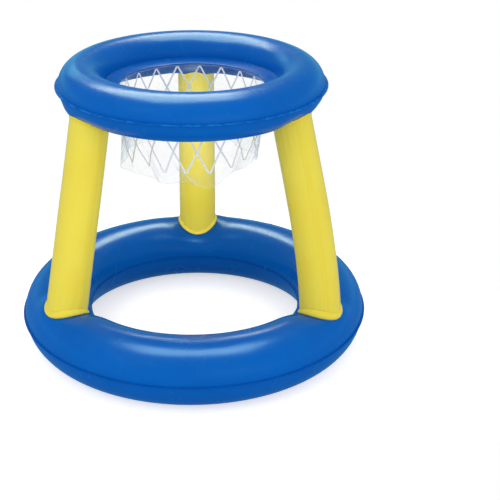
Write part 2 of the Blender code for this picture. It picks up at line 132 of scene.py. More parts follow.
def calculate(tree, operation, first, second=0.0):
    """One step of arithmetic."""
    return add_node(tree, "ShaderNodeMath", {0: first, 1: second}, operation=operation).outputs[0]


def add_noise(tree, coords, scale, detail=2.0, roughness=0.5, distortion=0.0):
    """Noise at a number of cells to the metre."""
    node = add_node(tree, "ShaderNodeTexNoise", {"Vector": coords, "Scale": scale, "Detail": detail,
                                                 "Roughness": roughness, "Distortion": distortion})
    return node.outputs["Fac"]


def make_vinyl_group():
    """Calendered PVC sheet: cloudy thickness, fine grain, handling smears, dust, weld bands, and a painted
    highlight along lit seam edges.
    """
    group = bpy.data.node_groups.new("vinyl_sheet", "ShaderNodeTree")
    for name, kind in (("Colour", "Color"), ("Deep Colour", "Color"), ("Painted Highlight Colour", "Color"),
                       ("Weld", "Float"), ("Least Roughness", "Float"), ("Most Roughness", "Float"),
                       ("Grain Height", "Float"), ("Dust", "Float")):
        group.interface.new_socket(name=name, in_out="INPUT", socket_type=f"NodeSocket{kind}")
    for name, kind in (("Colour", "Color"), ("Roughness", "Float"), ("Height", "Float")):
        group.interface.new_socket(name=name, in_out="OUTPUT", socket_type=f"NodeSocket{kind}")
    given = group.nodes.new("NodeGroupInput").outputs
    coords = add_node(group, "ShaderNodeTexCoord").outputs["Object"]
    cloud, grain, smear, patch, breaks = (
        add_noise(group, coords, *noise)
        for noise in (CLOUD_NOISE, GRAIN_NOISE, SMEAR_NOISE, PATCH_NOISE, BREAK_NOISE))
    speck, knurl = (
        add_node(group, "ShaderNodeTexVoronoi", {"Vector": coords, "Scale": cells}).outputs["Distance"]
        for cells in (SPECK_CELLS, KNURL_CELLS))

    spot = calculate(group, "MULTIPLY", map_range(group, speck, 0.10, 0.05),
                     map_range(group, patch, 0.66, 0.72))
    dust = calculate(group, "MULTIPLY", spot, given["Dust"])
    depth = calculate(group, "MAXIMUM", map_range(group, cloud, 0.38, 0.72, 0.0, 0.35),
                      calculate(group, "MULTIPLY", given["Weld"], WELD_SHADE))
    clean = mix_colours(group, depth, given["Colour"], given["Deep Colour"])
    # Where the weld mask is pale, a painted highlight in the highlight colour runs along the lip's edge,
    # broken into dashes, standing in for the light that the seam catches.
    broken = map_range(group, breaks, 0.42, 0.60, 0.10, 1.0)
    rim = calculate(group, "MULTIPLY", map_range(group, given["Weld"], -0.2, PAINTED_HIGHLIGHT_WELD), broken)
    clean = mix_colours(group, rim, clean, given["Painted Highlight Colour"])
    colour = mix_colours(group, dust, clean, DUST_GREY)

    shine = map_range(group, smear, 0.35, 0.68)
    spread = calculate(group, "SUBTRACT", given["Most Roughness"], given["Least Roughness"])
    rough = calculate(group, "ADD", given["Least Roughness"], calculate(group, "MULTIPLY", shine, spread))
    rough = calculate(group, "ADD", rough, calculate(group, "MULTIPLY", dust, DUST_ROUGHNESS))

    height = calculate(group, "MULTIPLY", grain, given["Grain Height"])
    ribs = calculate(group, "MULTIPLY", knurl, map_range(group, given["Weld"], 0.0, PRESSED_WELD))
    height = calculate(group, "ADD", height, calculate(group, "MULTIPLY", ribs, KNURL_HEIGHT))
    add_node(group, "NodeGroupOutput", {"Colour": colour, "Roughness": rough, "Height": height})
    return group


VINYL_SHEET = make_vinyl_group()


def new_material(name):
    """A material, its nodes and its surface shader."""
    material = bpy.data.materials.new(name)
    material.use_nodes = True
    tree = material.node_tree
    return material, tree, tree.nodes["Principled BSDF"]


def vinyl_material(name, colour, deep, edge, roughness, grain, dust, specular, tint, lips=False):
    """A material on the shared vinyl sheet with the piece's own weld mask, and with its matt lips."""
    material, tree, shader = new_material(name)
    weld = add_node(tree, "ShaderNodeAttribute", attribute_name="weld").outputs["Fac"]
    sheet = add_node(tree, "ShaderNodeGroup", node_tree=VINYL_SHEET)
    feed(tree, sheet, {"Colour": colour, "Deep Colour": deep, "Painted Highlight Colour": edge, "Weld": weld,
                       "Least Roughness": roughness[0], "Most Roughness": roughness[1],
                       "Grain Height": grain, "Dust": dust})
    bump = add_node(tree, "ShaderNodeBump", {"Height": sheet.outputs["Height"], "Distance": 1.0})
    feed(tree, shader, {"Base Color": sheet.outputs["Colour"], "Roughness": sheet.outputs["Roughness"],
                        "Normal": bump.outputs["Normal"], "IOR": VINYL_IOR, "Specular Tint": tint,
                        "Specular IOR Level": specular})
    if lips:
        duller = map_range(tree, weld, MATT_LIP / 3, MATT_LIP, specular, specular * MATT_SPECULAR)
        feed(tree, shader, {"Specular IOR Level": duller})
    return material


BLUE_VINYL = vinyl_material("blue_vinyl", BLUE, DEEP_BLUE, SEAM_HIGHLIGHT_BLUE, BLUE_ROUGHNESS, grain=0.000004,
                            dust=0.05, specular=0.165, tint=(0.56, 1.0, 0.72, 1.0), lips=True)


def grid_piece(name, points, weld=None):
    """A closed skin from a grid of points (row, column, place) that meets itself both ways."""
    rows, columns = points.shape[:2]
    index = np.arange(rows * columns).reshape(rows, columns)
    across = np.roll(index, -1, 1)
    faces = np.stack((index, np.roll(index, -1, 0), np.roll(across, -1, 0), across), -1)
    mesh = bpy.data.meshes.new(name)
    mesh.from_pydata(points.reshape(-1, 3).tolist(), [], faces.reshape(-1, 4).tolist())
    if weld is not None:
        mesh.attributes.new("weld", "FLOAT", "POINT").data.foreach_set("value", weld.ravel())
    return link_piece(name, mesh)


def built_piece(name, bm):
    """An object of a built-up mesh."""
    mesh = bpy.data.meshes.new(name)
    bm.to_mesh(mesh)
    bm.free()
    return link_piece(name, mesh)


def raise_faces(bm, faces, move):
    """Make flat faces a solid, whose far side stands off by what move gives for each place."""
    raised = bmesh.ops.extrude_face_region(bm, geom=faces + bm.edges[:], use_keep_orig=True)
    for item in raised["geom"]:
        if isinstance(item, bmesh.types.BMVert):
            item.co += move(item.co)


def link_piece(name, mesh):
    """An object of a mesh, its faces turned out and shaded smooth but for its edges."""
    bm = bmesh.new()
    bm.from_mesh(mesh)
    bmesh.ops.recalc_face_normals(bm, faces=bm.faces)
    bm.to_mesh(mesh)
    bm.free()
    mesh.shade_smooth()
    mesh.set_sharp_from_angle(angle=SHARP_EDGE)
    piece = bpy.data.objects.new(name, mesh)
    bpy.context.scene.collection.objects.link(piece)
    return piece


def dress(piece, material, slot, body, *nodes):
    """Give a piece its material, the body that it moves with and the CAD nodes it stands for."""
    piece.data.materials.clear()
    piece.data.materials.append(material)
    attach(piece, body)
    if nodes:
        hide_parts(*nodes)
    return piece


def wrap(angles):
    """Angles brought to within half a turn of zero."""
    return (angles + pi) % (2 * pi) - pi


def wave(azimuths, counts, seed):
    """A ripple of about -1 to 1 round the hoop, the sum of whole numbers of waves."""
    draws = np.random.default_rng(seed)
    weights = draws.uniform(0.5, 1.0, len(counts))
    phases = draws.uniform(0, 2 * pi, len(counts))
    total = sum(weight * np.cos(count * azimuths + phase)
                for weight, count, phase in zip(weights, counts, phases))
    return total / (WAVE_SHARE * weights.sum())


def lip_wall(from_edge, from_tube):
    """How thick a welded lip's sheet is, with its pressed band and the bead at its edge."""
    bead = BEAD_SHARE * np.exp(-(from_edge / BEAD_WIDTH) ** 2)
    pressed = PRESSED_SHARE * np.clip(from_tube / BEAD_WIDTH, 0, 1)
    return SKIN_WALL * (1 - pressed + bead)


def ring_outline(ring, side, flat_width):
    """A sheet's outline over its outer lip, tube and inner lip: places, normals, seam masks."""
    half_gap = SEAM_GAP / 2
    outer_edge = ring.radius + ring.tube + ring.seam
    start = asin((half_gap + SKIN_WALL) / ring.tube)
    flat = asin(flat_width / 2 / ring.tube)
    quarter = np.linspace(start, pi / 2 - flat, TUBE_STEPS // 2 + 1)
    angles = np.concatenate((quarter, pi - quarter[::-1] if flat else (pi - quarter[::-1])[1:]))
    tube_foot = ring.tube * cos(start)
    outer = np.linspace(outer_edge, ring.radius + tube_foot, LIP_STEPS + 1)[:-1]
    inner_steps = max(LIP_STEPS, round((ring.radius - tube_foot - ring.inner_edge) / FLANGE_STEP))
    inner = np.linspace(ring.radius - tube_foot, ring.inner_edge, inner_steps + 1)[1:]
    lips = []
    for reach, edge in ((outer, outer_edge), (inner, ring.inner_edge)):
        wall = lip_wall(np.abs(reach - edge), np.abs(np.abs(reach - ring.radius) - tube_foot))
        lips.append((reach, half_gap + wall))
    reach = np.concatenate((lips[0][0], ring.radius + ring.tube * np.cos(angles), lips[1][0]))
    height = np.concatenate((lips[0][1], ring.tube * np.sin(angles), lips[1][1]))
    lining_angles = np.linspace(asin(half_gap / (ring.tube - SKIN_WALL)),
                                pi - asin(half_gap / (ring.tube - SKIN_WALL)), len(angles))
    limit = cos(flat) * (ring.tube - SKIN_WALL / 2) / ring.tube if flat else 1.0
    squeeze = np.minimum(np.sin(lining_angles), limit)
    lining_reach = np.concatenate((outer, ring.radius + (ring.tube - SKIN_WALL) * np.cos(lining_angles),
                                   inner))
    lining_height = np.concatenate((np.full(len(outer), half_gap), (ring.tube - SKIN_WALL) * squeeze,
                                    np.full(len(inner), half_gap)))
    lip_out, lip_in = np.zeros(len(outer)), np.zeros(len(inner))
    normal = np.stack((np.concatenate((lip_out, np.cos(angles), lip_in)),
                       np.concatenate((lip_out + 1, np.sin(angles), lip_in + 1))), -1)
    from_seam = np.concatenate((lip_out, ring.tube * (angles - start), lip_in + pi * ring.tube))
    weld = np.concatenate((lip_out + ring.seam_tone, np.zeros(len(angles)),
                           band_mask(inner, ring, tube_foot)))
    return (there_and_back(reach, lining_reach), side * there_and_back(height, lining_height),
            there_and_back(normal, normal) * (1, side), there_and_back(from_seam, from_seam),
            there_and_back(weld, weld))


def there_and_back(skin, lining):
    """An outline along its outer side and back along its inner side."""
    return np.concatenate((skin, lining[::-1]))


def band_mask(reach, ring, tube_foot):
    """The weld mask of an inner lip: pressed beside the tube and along the free edge, the rest matt."""
    beside_tube = ring.radius - tube_foot - reach
    beside_edge = reach - ring.inner_edge
    return np.where((beside_tube < WELD_BAND) | (beside_edge < WELD_BAND), PRESSED_WELD, MATT_LIP)


def sag(ring, reach):
    """How far a ring's inner lip has drooped at a distance from the hoop's axis."""
    weld_line = ring.radius - ring.tube
    share = np.clip((weld_line - reach) / (weld_line - ring.inner_edge), 0, 1)
    return ring.droop * share


def flange_wave(ring, azimuths):
    """Slow ups and downs of the soft flange's free edge."""
    return FLANGE_WAVE * wave(azimuths, FLANGE_WAVES, ring.seed + 5)


def spin(azimuths, radial, upward):
    """Places or directions round an upright axis, from how far out and up they reach."""
    return np.stack((radial * np.cos(azimuths)[:, None], radial * np.sin(azimuths)[:, None],
                     np.broadcast_to(upward, (len(azimuths), upward.shape[-1]))), -1)


def ring_sheet(name, ring, side, flat_width, seats):
    """One sheet of a ring, rippled along its outer seam and drawn in round the legs' welds."""
    reach, height, normal, from_seam, weld = ring_outline(ring, side, flat_width)
    azimuths = np.arange(RING_STEPS) * 2 * pi / RING_STEPS
    strength = RIPPLE_MEAN + (1 - RIPPLE_MEAN) * wave(azimuths, RIPPLE_WAVES, ring.seed + 1)
    lift = ring.ripple * strength * wave(azimuths, ring.waves, ring.seed)
    dents = 0.5 + 0.5 * wave(azimuths + PUCKER_SLANT * side, ring.waves, ring.seed + 2)
    hollow = from_seam / PUCKER_REACH * np.exp(1 - from_seam / PUCKER_REACH)
    move = -(ring.pucker * strength * dents)[:, None] * hollow[None, :]
    upward = height[None, :] + move * normal[None, :, 1]
    upward += lift[:, None] * np.exp(-from_seam / PUCKER_REACH)[None, :]
    upward += ring.height - sag(ring, reach)[None, :]
    if ring.droop:
        upward += flange_wave(ring, azimuths)[:, None] * (sag(ring, reach) / ring.droop)[None, :]
    points = spin(azimuths, reach[None, :] + move * normal[None, :, 0], upward)
    outward = spin(azimuths, normal[None, :, 0], normal[None, :, 1])
    clear_of_seam = np.clip(np.abs(height) / ring.tube / GIVE_SEAM_SHARE, 0, 1)
    softness = clear_of_seam ** 2 * (3 - 2 * clear_of_seam)
    for seat in seats:
        points = seat_leg(points, outward, softness, ring, seat)
    return grid_piece(name, points, np.broadcast_to(weld[None, :], upward.shape).copy())


# Seats of the legs, which lean in from the base ring to the top ring and are welded round to both.
# The weld draws the ring's skin in, and under the air's pressure the soft skins give there by a few
# millimetres, out of the legs' straight lines.
SEAT_GROOVE = 0.0004         # the weld round a leg draws the ring's skin in
SEAT_GROOVE_WIDTH = 0.0040
SEAT_SWELL = 0.0005          # and the skin swells a little round it
SEAT_SWELL_AWAY = 0.0110
SEAT_SWELL_WIDTH = 0.0080
GIVE_REACH = 0.022           # how far round a leg a ring's skin gives
GIVE_SEAM_SHARE = 0.45       # and how far from its seam it gives in full, as a share of the tube
HEM_TURN_IN = 0.0012         # a leg's edge stands this far outside its wall

TOP_RING_RADIUS = 0.1778
TOP_TUBE_RADIUS = 0.0370
TOP_SEAM_WIDTH = 0.0048
RING_SPACING = 0.3966
HOOP_OPENING_RADIUS = 0.1170
FLANGE_DROOP = 0.0045
TOP_RIPPLE = 0.00060
TOP_PUCKER = 0.00042
# The top ring's outer seam takes the painted highlight instead of the darker pressed weld.
TOP = Ring(TOP_RING_RADIUS, TOP_TUBE_RADIUS, BASE_HEIGHT + RING_SPACING, TOP_SEAM_WIDTH,
           HOOP_OPENING_RADIUS, FLANGE_DROOP, TOP_RIPPLE, TOP_PUCKER, (71, 97, 113, 139, 166), 23,
           PAINTED_HIGHLIGHT_WELD)

LEG_NODES = ("leg_back", "leg_left", "leg_right")
BACK_LEG_AZIMUTH = 90.0
LEG_FOOT_RADIUS = 0.03375
LEG_HEAD_RADIUS = 0.03125
LEG_FOOT_OFFSET = 0.0098
LEG_HEAD_OFFSET = -0.0026
# All round, at the outer side, sidelong, flattening and slanting, as end_give blends them
FOOT_GIVES = {"leg_back": (-0.0022, 0.0074, -0.0012, 0.0005, -0.0009),
              "leg_left": (-0.0030, 0.0088, -0.0018, 0.0006, -0.0031),
              "leg_right": (-0.0060, 0.0084, -0.0014, 0.0017, 0.0031)}
HEAD_GIVES = {"leg_back": (-0.0010, 0.0015, 0.0, -0.0065, 0.0),
              "leg_left": (-0.0030, 0.0016, -0.0012, -0.0046, 0.0028),
              "leg_right": (-0.0002, 0.0029, 0.0, -0.0044, -0.0014)}
# The foot outward from the hoop, and the head sideways
LEG_SHIFTS = {"leg_back": (0.0, -0.0020), "leg_left": (0.0, 0.0006), "leg_right": (0.0026, 0.0)}

Seat = namedtuple("Seat", "place axis across sideways edge gives")


def leg_frame(node):
    """A leg's foot and head points, its axis, and the ways outward from the hoop and sideways."""
    foot_shift, head_shift = LEG_SHIFTS[node]
    azimuth = radians(BACK_LEG_AZIMUTH) + 2 * pi * LEG_NODES.index(node) / len(LEG_NODES)
    outward = Vector((cos(azimuth), sin(azimuth), 0))
    sideways = Vector((-sin(azimuth), cos(azimuth), 0))
    foot = outward * BASE.radius + Vector((0, 0, BASE.height))
    head = outward * TOP.radius + Vector((0, 0, TOP.height))
    across = sideways.cross(head - foot).normalized()
    foot += across * LEG_FOOT_OFFSET + outward * foot_shift
    head += across * LEG_HEAD_OFFSET + sideways * head_shift
    axis = (head - foot).normalized()
    return foot, head, axis, outward, sideways


def end_give(turn, gives):
    """How far the skin gives up or down a leg's axis, round its end from the outer side."""
    all_round, outer, sidelong, flattening, slanting = gives
    return (all_round + outer * np.cos(turn) + sidelong * np.sin(turn)
            + flattening * np.cos(2 * turn) + slanting * np.sin(2 * turn))


def seat_leg(points, outward, softness, ring, seat):
    """A ring's skin where a leg is welded on: drawn in, swollen round the weld, and given."""
    offset = points - seat.place
    along = offset @ seat.axis
    away = np.linalg.norm(offset - along[..., None] * seat.axis, axis=-1)
    near = np.abs(along) < ring.tube
    draw = -SEAT_GROOVE * np.exp(-((away - seat.edge) / SEAT_GROOVE_WIDTH) ** 2)
    draw += SEAT_SWELL * np.exp(-((away - seat.edge - SEAT_SWELL_AWAY) / SEAT_SWELL_WIDTH) ** 2)
    turn = np.arctan2(offset @ seat.sideways, offset @ seat.across)
    spread = np.minimum(away / seat.edge, 1)
    spread = spread * np.exp(-(np.maximum(away - seat.edge, 0) / GIVE_REACH) ** 2)
    give = end_give(turn, seat.gives) * spread * near * softness[None, :]
    return points + (draw * near)[..., None] * outward + give[..., None] * seat.axis


base_seats, top_seats = [], []
for node in LEG_NODES:
    foot, head, axis, outward, sideways = (np.array(part) for part in leg_frame(node))
    across = np.cross(sideways, axis)
    base_seats.append(Seat(foot + axis * BASE.tube, axis, across, sideways,
                           LEG_FOOT_RADIUS + HEM_TURN_IN, FOOT_GIVES[node]))
    top_seats.append(Seat(head - axis * TOP.tube, axis, across, sideways,
                          LEG_HEAD_RADIUS + HEM_TURN_IN, HEAD_GIVES[node]))

base_upper = ring_sheet("base_ring_upper_sheet", BASE, 1, 0.0, base_seats)
base_lower = ring_sheet("base_ring_lower_sheet", BASE, -1, BASE_CONTACT_WIDTH, ())
dress(base_upper, BLUE_VINYL, "blue_vinyl", "hoop", "base_ring_upper_skin")
dress(base_lower, BLUE_VINYL, "blue_vinyl", "hoop", "base_ring_lower_skin")


# Legs, three inflated sleeves of thinner yellow PVC sheet. Each is rolled and closed by an overlap
# weld up its length, and welded to the rings round both ends. The sheet beyond the foot's weld
# stands off as a puffed hem.
HEM_WELD_HEIGHT = 0.0058     # the hem's weld runs nearly level, so it is this high on average
HEM_WELD_SLOPE = 0.0085      # and this much higher on the leg's outer side
HEM_FLARE = 0.0031
HEM_SHARES = (0.0, 0.05, 0.13, 0.24, 0.37, 0.51, 0.65, 0.78, 0.89, 0.97, 1.0, 1.04, 1.10, 1.25)
HEM_SHAPE = (0.45, 0.70, 0.90, 1.00, 0.97, 0.84, 0.62, 0.37, 0.13, -0.10, -0.12, -0.06, 0.04, 0.0)
HEAD_HEIGHTS = (0.0065, 0.0052, 0.0045, 0.0038, 0.0026, 0.0012, 0.0)
HEAD_FLARES = (0.0, 0.0001, -0.0002, 0.0002, 0.0008, 0.0011, 0.0009)
LEG_SADDLE_GAP = 0.0001
LEG_WALL_STEPS = 60
LEG_SIDES = 120
STRIP_WIDTH = 0.0100         # overlap weld up the sleeve
STRIP_RISE = 0.00030
STRIP_EDGE = 0.0006
STRIP_ANGLES = {"leg_back": 12.0, "leg_left": 100.0, "leg_right": -44.0}
LEG_BOWS = {"leg_back": (0.0025, 0.0), "leg_left": (-0.0008, 0.0060), "leg_right": (0.0038, 0.0290)}
FLUTE_DEPTH = 0.00028        # small folds that run into the welded ends
FLUTE_REACH = 0.0130
FOOT_FOLDS, HEAD_FOLDS = (11, 13, 17, 19), (10, 14, 18, 21)
FOLD_SEED = 40
# Weld mask of the hem by shares of its height, and of the head by distances from its edge
HEM_BAND = ((0, 0.90, 0.96, 1.03, 1.08), (0.5, 0.35, 0.9, 0.9, 0))
HEAD_BAND = ((0, 0.0036, 0.0046, 0.0056), (0.6, 0.6, 1, 0))
STRIP_TONE = 0.55
TRACE_STEPS = 60
YELLOW = (0.870, 0.738, 0.084, 1.0)
DEEP_YELLOW = (0.815, 0.610, 0.026, 1.0)
YELLOW_ROUGHNESS = (0.30, 0.42)

YELLOW_VINYL = vinyl_material("yellow_vinyl", YELLOW, DEEP_YELLOW, YELLOW, YELLOW_ROUGHNESS,
                              grain=0.000008, dust=0.2, specular=0.25, tint=(1.0, 1.0, 0.70, 1.0))


def reach_to_ring(starts, direction, ring, gap):
    """How far lines run before they come to a gap from a ring's tube."""
    travelled = np.zeros(len(starts))
    for _ in range(TRACE_STEPS):
        points = starts + direction[None, :] * travelled[:, None]
        flat = np.hypot(points[:, 0], points[:, 1]) - ring.radius
        travelled += np.hypot(flat, points[:, 2] - ring.height) - ring.tube - gap
    return travelled


def leg_angles(strip, half_strip, soft):
    """Lines round a leg, with a close pair at each edge of its overlap weld."""
    angles = np.arange(LEG_SIDES) * 2 * pi / LEG_SIDES
    for side in (-1, 1):
        edge = strip + side * half_strip
        angles = angles[np.abs(wrap(angles - edge)) > soft]
        angles = np.append(angles, np.array([edge - soft / 2, edge + soft / 2]) % (2 * pi))
    return np.sort(angles)


def flute(distance):
    """How strongly the small folds show at a distance from a welded end."""
    return distance / FLUTE_REACH * np.exp(1 - distance / FLUTE_REACH)


def leg_sleeve(node):
    """A leg as a grid, up its wall and back down its lining, for each line round it."""
    foot, head, axis, outward, sideways = (np.array(part) for part in leg_frame(node))
    across = np.cross(sideways, axis)
    middle = (foot + head) / 2
    strip = radians(STRIP_ANGLES[node])
    half_strip = STRIP_WIDTH / 2 / LEG_FOOT_RADIUS
    soft = STRIP_EDGE / LEG_FOOT_RADIUS
    angles = leg_angles(strip, half_strip, soft)
    spokes = np.cos(angles)[:, None] * across + np.sin(angles)[:, None] * sideways

    # From the foot's free edge to the head's, along the axis from the leg's middle
    give = end_give(angles, FOOT_GIVES[node])
    foot_radius = LEG_FOOT_RADIUS + HEM_FLARE * HEM_SHAPE[0]
    head_radius = LEG_HEAD_RADIUS + HEAD_FLARES[-1]
    edge = reach_to_ring(middle + spokes * foot_radius, -axis, BASE, LEG_SADDLE_GAP) - give
    top = reach_to_ring(middle + spokes * head_radius, axis, TOP, LEG_SADDLE_GAP)
    top += end_give(angles, HEAD_GIVES[node])
    hem = (HEM_WELD_HEIGHT + HEM_WELD_SLOPE * np.cos(angles) - give)[:, None] * np.array(HEM_SHARES)
    crown = np.array(HEAD_HEIGHTS)
    low, high = hem[:, -1] - edge, top - crown[0]
    wall = low[:, None] + (high - low)[:, None] * np.linspace(0, 1, LEG_WALL_STEPS + 2)[1:-1]
    along = np.concatenate((hem - edge[:, None], wall, top[:, None] - crown), 1)

    # Out from the axis: the taper, the flares at both ends, the small folds and the overlap weld
    flare = np.concatenate((HEM_FLARE * np.array(HEM_SHAPE), np.zeros(LEG_WALL_STEPS), HEAD_FLARES))
    share = (along + edge.mean()) / (top.mean() + edge.mean())
    radius = LEG_FOOT_RADIUS + (LEG_HEAD_RADIUS - LEG_FOOT_RADIUS) * np.clip(share, 0, 1) + flare
    hem_weld = hem[:, HEM_SHARES.index(1.0)] - edge
    head_weld = top - crown[2]
    seed = FOLD_SEED + LEG_NODES.index(node)
    folds = wave(angles, FOOT_FOLDS, seed)[:, None] * flute(np.maximum(along - hem_weld[:, None], 0))
    folds += wave(angles, HEAD_FOLDS, seed + 3)[:, None] * flute(np.maximum(head_weld[:, None] - along, 0))
    turn = np.abs(wrap(angles - strip))
    on_strip = np.clip((half_strip + soft / 2 - turn) / soft, 0, 1)[:, None] * np.ones_like(along)
    radius += FLUTE_DEPTH * folds + STRIP_RISE * on_strip
    even, low_down = LEG_BOWS[node]
    clear = (along + edge[:, None]) / (top + edge)[:, None]
    bow = even * 4 * clear * (1 - clear) + low_down * clear * (1 - clear) ** 2

    def place(inset):
        return (middle + axis * along[..., None] + spokes[:, None, :] * (radius - inset)[..., None]
                + outward * bow[..., None])

    points = np.concatenate((place(0), place(SKIN_WALL)[:, ::-1]), 1)
    bands = np.concatenate((np.interp(HEM_SHARES, *HEM_BAND), np.zeros(LEG_WALL_STEPS),
                            np.interp(HEAD_HEIGHTS, *HEAD_BAND)))
    weld = np.maximum(bands[None, :], STRIP_TONE * on_strip)
    return grid_piece(f"{node}_sleeve", points, np.concatenate((weld, weld[:, ::-1]), 1))


sleeves = [dress(leg_sleeve(node), YELLOW_VINYL, "yellow_vinyl", "hoop", node) for node in LEG_NODES]


# Top ring, the hoop itself. It is made like the base ring, but its two sheets run on inward past
# the tube and are welded flat into a flange, whose inner edge is the hoop's opening.
top_upper = ring_sheet("top_ring_upper_sheet", TOP, 1, 0.0, ())
top_lower = ring_sheet("top_ring_lower_sheet", TOP, -1, 0.0, top_seats)
dress(top_upper, BLUE_VINYL, "blue_vinyl", "hoop", "top_ring_upper_skin")
dress(top_lower, BLUE_VINYL, "blue_vinyl", "hoop", "top_ring_lower_skin")


# Net, one strip of thin clear PVC film. Its top edge is turned out as a collar and welded under the
# flange, and the rest hangs open in soft folds, creased from the box it came in.
NET_INSET = 0.0020
NET_RADIUS = HOOP_OPENING_RADIUS - NET_INSET
NET_LENGTH = 0.1280
NET_WALL = 0.0003
NET_COLLAR_WIDTH = 0.0100
NET_FOLD_DEPTH = 0.0130
NET_FOLD_COUNTS = (1, 5, 8)
NET_FOLD_SHARES = (0.60, 0.40, 0.27)
NET_DRAWN_IN = 0.40
NET_FOLD_AZIMUTHS = (175.7, 212.7, 194.7)
NET_FOLD_GROWTH = 1.6
NET_STEPS_A_PITCH = 28
NET_ROW_STEPS = 24
NET_END_STEPS = 12           # below the last row
CRINKLE_DEPTH = 0.0006
CRINKLE_SLANT = 9.0
# Creases round the hoop, their share of the slant, where they start and how sharp they are
CRINKLES = ((11.5, 1.0, 0.0, 3), (17.0, -1.7, 1.0, 4))
CRINKLE_MEAN = 0.7
FINE_CRINKLES, FINE_SLANT = (23, 31, 43, 57), 0.04
CRINKLE_SEED = 77
PRINT_PITCHES = 19
PRINT_ROWS = 3
PRINT_ROW_HEIGHT = 0.0365
PRINT_AZIMUTH = radians(85.0)
# How far out, sideways and down the film hangs beside each point of the mesh that the front shows,
# and how much further down its free edge does there, in millimetres
FIRST_POINT = PRINT_AZIMUTH + 5.5 * 2 * pi / PRINT_PITCHES
POINT_MOVES = 0.001 * np.array((
    (1.6, 0.3, 1.5, 0.5), (-8.2, 3.3, 4.6, -5.1), (-12.9, 4.8, 1.7, 1.0), (-0.3, 4.2, 3.9, -3.2),
    (3.0, 2.4, 0.6, -3.1), (-2.2, 1.8, 2.4, 3.0), (9.3, 0.6, -2.4, -9.9), (-0.5, 2.3, -2.4, -2.7),
    (1.9, 2.0, -8.1, -2.5)))
CREASE_START, CREASE_END = (radians(252.0), 0.090), (radians(275.0), 0.131)   # azimuth, drop
CREASE_DEPTH = 0.0030
CREASE_WIDTH = 0.0045
CREASE_FADE = 4.0            # it comes and goes within a quarter of its length
CREASE_RUN_ON = 1.1
RUMPLE_AZIMUTH = radians(92.0)
RUMPLE_DROP = 0.0060
RUMPLE_DEPTH = 0.0022
RUMPLE_WIDTH, RUMPLE_HEIGHT = 0.012, 0.004
RUMPLE_WAVES, RUMPLE_SLANT = 160, 900
RUMPLE_START = 0.002
FREE_EDGE_TONE, COLLAR_TONE, RUMPLE_TONE = 0.7, 0.3, 1.5
FILM = (0.62, 0.80, 0.98, 1.0)
FILM_IOR = 1.50
EDGE_ON_HAZE_AND_SHEEN = 0.32             # haze and painted sheen of film that turns away from the eye
CREASE_MILKINESS = 0.24
FILM_RIPPLE = 0.0006


def collar_height(reach):
    """Top face of the net's collar, close under the flange."""
    weld_line = TOP.radius - TOP.tube
    droop = FLANGE_DROOP * (weld_line - reach) / (weld_line - HOOP_OPENING_RADIUS)
    return TOP.height - droop - SEAM_GAP - SKIN_WALL * (1 + BEAD_SHARE)


def net_folds(azimuth):
    """How far the net's free edge stands in or out at an azimuth, as a share of the folds."""
    waves = zip(NET_FOLD_COUNTS, NET_FOLD_SHARES, NET_FOLD_AZIMUTHS)
    folds = sum(share * np.cos(count * (azimuth - radians(crest))) for count, share, crest in waves)
    return folds - NET_DRAWN_IN


def point_moves(azimuth):
    """The moves out, sideways, down and of the free edge at an azimuth, blended from point to point."""
    pitch = 2 * pi / PRINT_PITCHES
    points = FIRST_POINT + pitch * np.arange(len(POINT_MOVES))
    apart = wrap(azimuth[..., None] - points)
    return np.cos(pi / 2 * np.clip(apart / pitch, -1, 1)) ** 2 @ POINT_MOVES


def crease_and_rumple(azimuth, drop):
    """The long crease across the front and the rumpled spot under the far rim, 0 to about 1."""
    (from_azimuth, from_drop), (to_azimuth, to_drop) = CREASE_START, CREASE_END
    share = ((azimuth % (2 * pi)) - from_azimuth) / (to_azimuth - from_azimuth)
    off_line = (drop - from_drop - (to_drop - from_drop) * share) * cos(pi / 4)
    crease = np.exp(-np.abs(off_line) / CREASE_WIDTH) * np.clip(CREASE_FADE * share, 0, 1)
    crease = crease * np.clip(CREASE_FADE * (CREASE_RUN_ON - share), 0, 1)
    around = ((azimuth % (2 * pi)) - RUMPLE_AZIMUTH) * NET_RADIUS / RUMPLE_WIDTH
    rumple = np.exp(-around ** 2 - ((drop - RUMPLE_DROP) / RUMPLE_HEIGHT) ** 2)
    return crease, rumple


def crinkles(azimuth, drop):
    """Small creases that slant across the film, finer and stronger towards its free edge."""
    strength = 0.25 + 0.75 * np.clip(drop / NET_LENGTH, 0, 1)
    slant = CRINKLE_SLANT * drop / NET_LENGTH
    ridges = sum(np.abs(np.cos(count * azimuth + share * slant + start)) ** sharpness
                 for count, share, start, sharpness in CRINKLES)
    fine = wave(azimuth + FINE_SLANT * slant, FINE_CRINKLES, CRINKLE_SEED)
    return strength * (ridges - CRINKLE_MEAN) + 0.5 * fine


